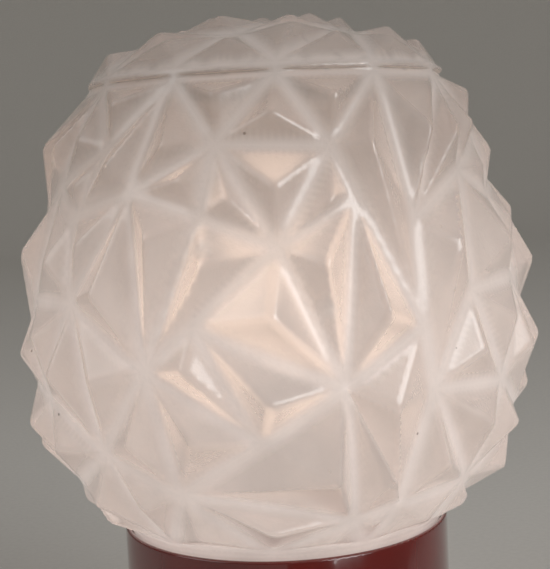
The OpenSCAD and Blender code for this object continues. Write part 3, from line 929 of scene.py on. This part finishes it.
class LAMP_OT_bulb_cap(bpy.types.Operator):
    """Rolls the bulb's screw cap with its round thread"""

    bl_idname = "lamp.bulb_cap"
    bl_label = "Bulb cap"

    def execute(self, context):
        settings = context.scene.lamp_bulb
        low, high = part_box("bulb_cap")
        sizes = {
            "Foot": low.z,
            "Length": high.z - low.z,
            "Radius": settings.thread_radius,
            "Depth": settings.thread_depth,
            "Pitch": settings.thread_pitch,
            "Material": hard_finish(*FINISHES["nickel"]),
        }
        cap = grown("screw_cap", thread_tree(), sizes)
        wall = cap.modifiers.new("wall", "SOLIDIFY")
        wall.thickness = settings.sheet
        wall.offset = -1
        apply_modifiers(cap)
        cap.data.shade_smooth()
        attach(cap, "bulb")
        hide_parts("bulb_cap")
        return {"FINISHED"}


def thread_tree():
    """Geometry Nodes: a rolled sleeve whose wall waves in a right-hand screw, with a drawn-in foot and a collar."""
    tree, given, result = new_geometry_tree("rolled_thread", ("Foot", "Length", "Radius", "Depth", "Pitch"))
    grid = add(
        tree,
        "GeometryNodeMeshGrid",
        {"Size X": 1.0, "Size Y": 1.0, "Vertices X": POINTS_ROUND, "Vertices Y": POINTS_ALONG},
    )
    place = add(tree, "ShaderNodeSeparateXYZ", {0: add(tree, "GeometryNodeInputPosition").outputs[0]})
    angle = add(tree, "ShaderNodeMath", {0: place.outputs["X"], 1: math.tau}, operation="MULTIPLY").outputs[0]
    share = add(tree, "ShaderNodeMath", {0: place.outputs["Y"], 1: 0.5}, operation="ADD").outputs[0]
    rise = add(tree, "ShaderNodeMath", {0: share, 1: given["Length"]}, operation="MULTIPLY").outputs[0]
    height = add(tree, "ShaderNodeMath", {0: rise, 1: given["Foot"]}, operation="ADD").outputs[0]
    pitches = add(tree, "ShaderNodeMath", {0: rise, 1: given["Pitch"]}, operation="DIVIDE").outputs[0]
    turns = add(tree, "ShaderNodeMath", {0: pitches, 1: math.tau}, operation="MULTIPLY").outputs[0]
    phase = add(tree, "ShaderNodeMath", {0: turns, 1: angle}, operation="SUBTRACT").outputs[0]
    wave = add(tree, "ShaderNodeMath", {0: phase}, operation="COSINE").outputs[0]
    start = smooth_step(tree, share, *THREAD_START, 0.0, 1.0)
    end = smooth_step(tree, share, *THREAD_END, 1.0, 0.0)
    window = add(tree, "ShaderNodeMath", {0: start, 1: end}, operation="MULTIPLY").outputs[0]
    depth = add(tree, "ShaderNodeMath", {0: window, 1: given["Depth"]}, operation="MULTIPLY").outputs[0]
    waved = add(
        tree, "ShaderNodeMath", {0: wave, 1: depth, 2: given["Radius"]}, operation="MULTIPLY_ADD"
    ).outputs[0]
    foot = smooth_step(tree, share, *FOOT_STEP, -STEP_HEIGHT, 0.0)
    collar = smooth_step(tree, share, *COLLAR_STEP, 0.0, STEP_HEIGHT)
    ends = add(tree, "ShaderNodeMath", {0: foot, 1: collar}, operation="ADD").outputs[0]
    radius = add(tree, "ShaderNodeMath", {0: waved, 1: ends}, operation="ADD").outputs[0]
    sleeve = add(
        tree,
        "GeometryNodeSetPosition",
        {"Geometry": grid.outputs["Mesh"], "Position": around_axis(tree, radius, angle, height)},
    )
    closed = add(tree, "GeometryNodeMergeByDistance", {"Geometry": sleeve.outputs[0], "Distance": SEAM_GAP})
    finish_tree(tree, closed.outputs[0], given["Material"], result)
    return tree


def smooth_step(tree, value, start, end, first, last):
    """A number that goes smoothly from first to last while value goes from start to end."""
    return add(
        tree,
        "ShaderNodeMapRange",
        {"Value": value, "From Min": start, "From Max": end, "To Min": first, "To Max": last},
        interpolation_type="SMOOTHSTEP",
    ).outputs["Result"]


def around_axis(tree, radius, angle, height):
    """The point at a radius and an angle round the Z axis, at a height."""
    across = add(tree, "ShaderNodeMath", {0: angle}, operation="COSINE").outputs[0]
    along = add(tree, "ShaderNodeMath", {0: angle}, operation="SINE").outputs[0]
    x = add(tree, "ShaderNodeMath", {0: radius, 1: across}, operation="MULTIPLY").outputs[0]
    y = add(tree, "ShaderNodeMath", {0: radius, 1: along}, operation="MULTIPLY").outputs[0]
    return add(tree, "ShaderNodeCombineXYZ", {"X": x, "Y": y, "Z": height}).outputs[0]


def new_geometry_tree(name, sizes):
    """A Geometry Nodes tree with named size inputs and a material input. Returns it, its inputs and its end."""
    tree = bpy.data.node_groups.new(name, "GeometryNodeTree")
    tree.interface.new_socket("Geometry", in_out="OUTPUT", socket_type="NodeSocketGeometry")
    for size in sizes:
        tree.interface.new_socket(size, in_out="INPUT", socket_type="NodeSocketFloat")
    tree.interface.new_socket("Material", in_out="INPUT", socket_type="NodeSocketMaterial")
    start = add(tree, "NodeGroupInput")
    return tree, {socket.name: socket for socket in start.outputs if socket.name}, add(tree, "NodeGroupOutput")


def finish_tree(tree, geometry, material, result):
    """Ends a tree in Realize Instances and Set Material."""
    real = add(tree, "GeometryNodeRealizeInstances", {"Geometry": geometry})
    painted = add(tree, "GeometryNodeSetMaterial", {"Geometry": real.outputs[0], "Material": material})
    tree.links.new(painted.outputs[0], result.inputs[0])


def grown(name, tree, values):
    """A plain mesh object that holds what a Geometry Nodes tree makes from those input values."""
    made = new_object(name, bpy.data.meshes.new(name))
    modifier = made.modifiers.new(name, "NODES")
    modifier.node_group = tree
    for item in tree.interface.items_tree:
        if item.in_out == "INPUT":
            modifier[item.identifier] = values[item.name]
    apply_modifiers(made)
    return made


def apply_modifiers(made):
    """Turns an object with modifiers into its final plain mesh."""
    bpy.context.view_layer.update()
    final = bpy.data.meshes.new_from_object(made.evaluated_get(bpy.context.evaluated_depsgraph_get()))
    made.modifiers.clear()
    made.data = final


class LAMP_OT_finishes(bpy.types.Operator):
    """Gives every carried-over part the finish of its slot"""

    bl_idname = "lamp.finishes"
    bl_label = "Finishes of the plain parts"

    def execute(self, context):
        made = {slot: hard_finish(*row) for slot, row in FINISHES.items()}
        made["bulb_glass"] = frosted_bulb_glass(context.scene.lamp_bulb)
        made["bulb_clear_glass"] = clear_lead_glass()
        for part in frame["record"]["subparts"]:
            if part["node"] not in REPLACED:
                mesh = frame["nodes"][part["node"]].data
                mesh.materials.clear()
                mesh.materials.append(made[part["material_slot"]])
        return {"FINISHED"}


class LAMP_OT_stage(bpy.types.Operator):
    """Sets the camera, the pale floor and the soft light"""

    bl_idname = "lamp.stage"
    bl_label = "Stage"

    def execute(self, context):
        settings = context.scene.lamp_stage
        scene = context.scene
        scene.view_settings.view_transform = "Standard"
        camera_data = bpy.data.cameras.new("camera")
        camera_data.sensor_width = SENSOR_MM
        camera_data.lens = settings.camera_lens
        camera = bpy.data.objects.new("camera", camera_data)
        rim_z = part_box("drum_shell")[1].z
        place = (0, -settings.camera_distance, rim_z + settings.camera_over_rim)
        pitch = Matrix.Rotation(math.pi / 2 - settings.camera_pitch, 4, "X")
        roll = Matrix.Rotation(settings.camera_roll, 4, "Z")
        camera.matrix_world = Matrix.Translation(place) @ (pitch @ roll)
        scene.collection.objects.link(camera)
        scene.camera = camera
        sweep = new_object("floor", studio_sweep(settings.floor_radius))
        sweep.data.materials.append(studio_paper("pale_studio_paper", "#dedbd6", "#e3e0db"))
        world = bpy.data.worlds.new("studio")
        world.use_nodes = True
        sky = world.node_tree.nodes["Background"]
        sky.inputs["Color"].default_value = linear("#e8e6e2")
        sky.inputs["Strength"].default_value = WORLD_LIGHT
        scene.world = world
        softbox(scene, "key_softbox", **KEY_SOFTBOX)
        softbox(scene, "fill_softbox", **FILL_SOFTBOX)
        return {"FINISHED"}


def studio_sweep(flat):
    """A round floor, flat as far as that radius, that curves up into a wall on every side to soften the horizon."""
    outline = [(FLOOR_CENTRE, 0.0), (flat, 0.0)]
    for i in range(1, BEND_STEPS + 1):
        angle = math.pi / 2 * i / BEND_STEPS
        outline.append((flat + WALL_BEND * math.sin(angle), WALL_BEND * (1 - math.cos(angle))))
    outline.append((flat + WALL_BEND, WALL_TOP))
    turns = [math.tau * i / FLOOR_SIDES for i in range(FLOOR_SIDES)]
    bm = bmesh.new()
    rows = [[bm.verts.new((r * math.cos(t), r * math.sin(t), z)) for t in turns] for r, z in outline]
    bm.faces.new(rows[0])
    for low, high in zip(rows, rows[1:]):
        for i in range(FLOOR_SIDES):
            j = (i + 1) % FLOOR_SIDES
            bm.faces.new((low[i], high[i], high[j], low[j]))
    mesh = bpy.data.meshes.new("floor")
    bm.to_mesh(mesh)
    bm.free()
    mesh.shade_smooth()
    return mesh


def softbox(scene, name, place, size, power):
    """A square soft light that looks at the shade."""
    data = bpy.data.lights.new(name, "AREA")
    data.size = size
    data.energy = power
    light = bpy.data.objects.new(name, data)
    aim = Vector((0, 0, bulb_centre_z())) - Vector(place)
    light.matrix_world = Matrix.Translation(place) @ aim.to_track_quat("-Z", "Y").to_matrix().to_4x4()
    scene.collection.objects.link(light)


class LAMP_PT_panel(bpy.types.Panel):
    """Lists the lamp's builders"""

    bl_idname = "LAMP_PT_panel"
    bl_label = "Lamp"
    bl_space_type = "VIEW_3D"
    bl_region_type = "UI"
    bl_category = "Lamp"

    def draw(self, context):
        for operator in OPERATORS:
            self.layout.operator(operator.bl_idname)


SETTINGS = {
    "lamp_glass": LampGlassSettings,
    "lamp_drum": LampDrumSettings,
    "lamp_bulb": LampBulbSettings,
    "lamp_stage": LampStageSettings,
}
OPERATORS = (
    LAMP_OT_shade,
    LAMP_OT_drum,
    LAMP_OT_filament,
    LAMP_OT_bulb_cap,
    LAMP_OT_finishes,
    LAMP_OT_stage,
)
CLASSES = (*SETTINGS.values(), *OPERATORS, LAMP_PT_panel)


def register():
    for cls in CLASSES:
        bpy.utils.register_class(cls)
    for name, group in SETTINGS.items():
        setattr(bpy.types.Scene, name, PointerProperty(type=group))


def unregister():
    for name in SETTINGS:
        delattr(bpy.types.Scene, name)
    for cls in reversed(CLASSES):
        bpy.utils.unregister_class(cls)


def main():
    """Registers the add-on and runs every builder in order."""
    register()
    bpy.ops.lamp.shade()
    bpy.ops.lamp.drum()
    bpy.ops.lamp.filament()
    bpy.ops.lamp.bulb_cap()
    bpy.ops.lamp.finishes()
    bpy.ops.lamp.stage()


if __name__ == "__main__":
    main()
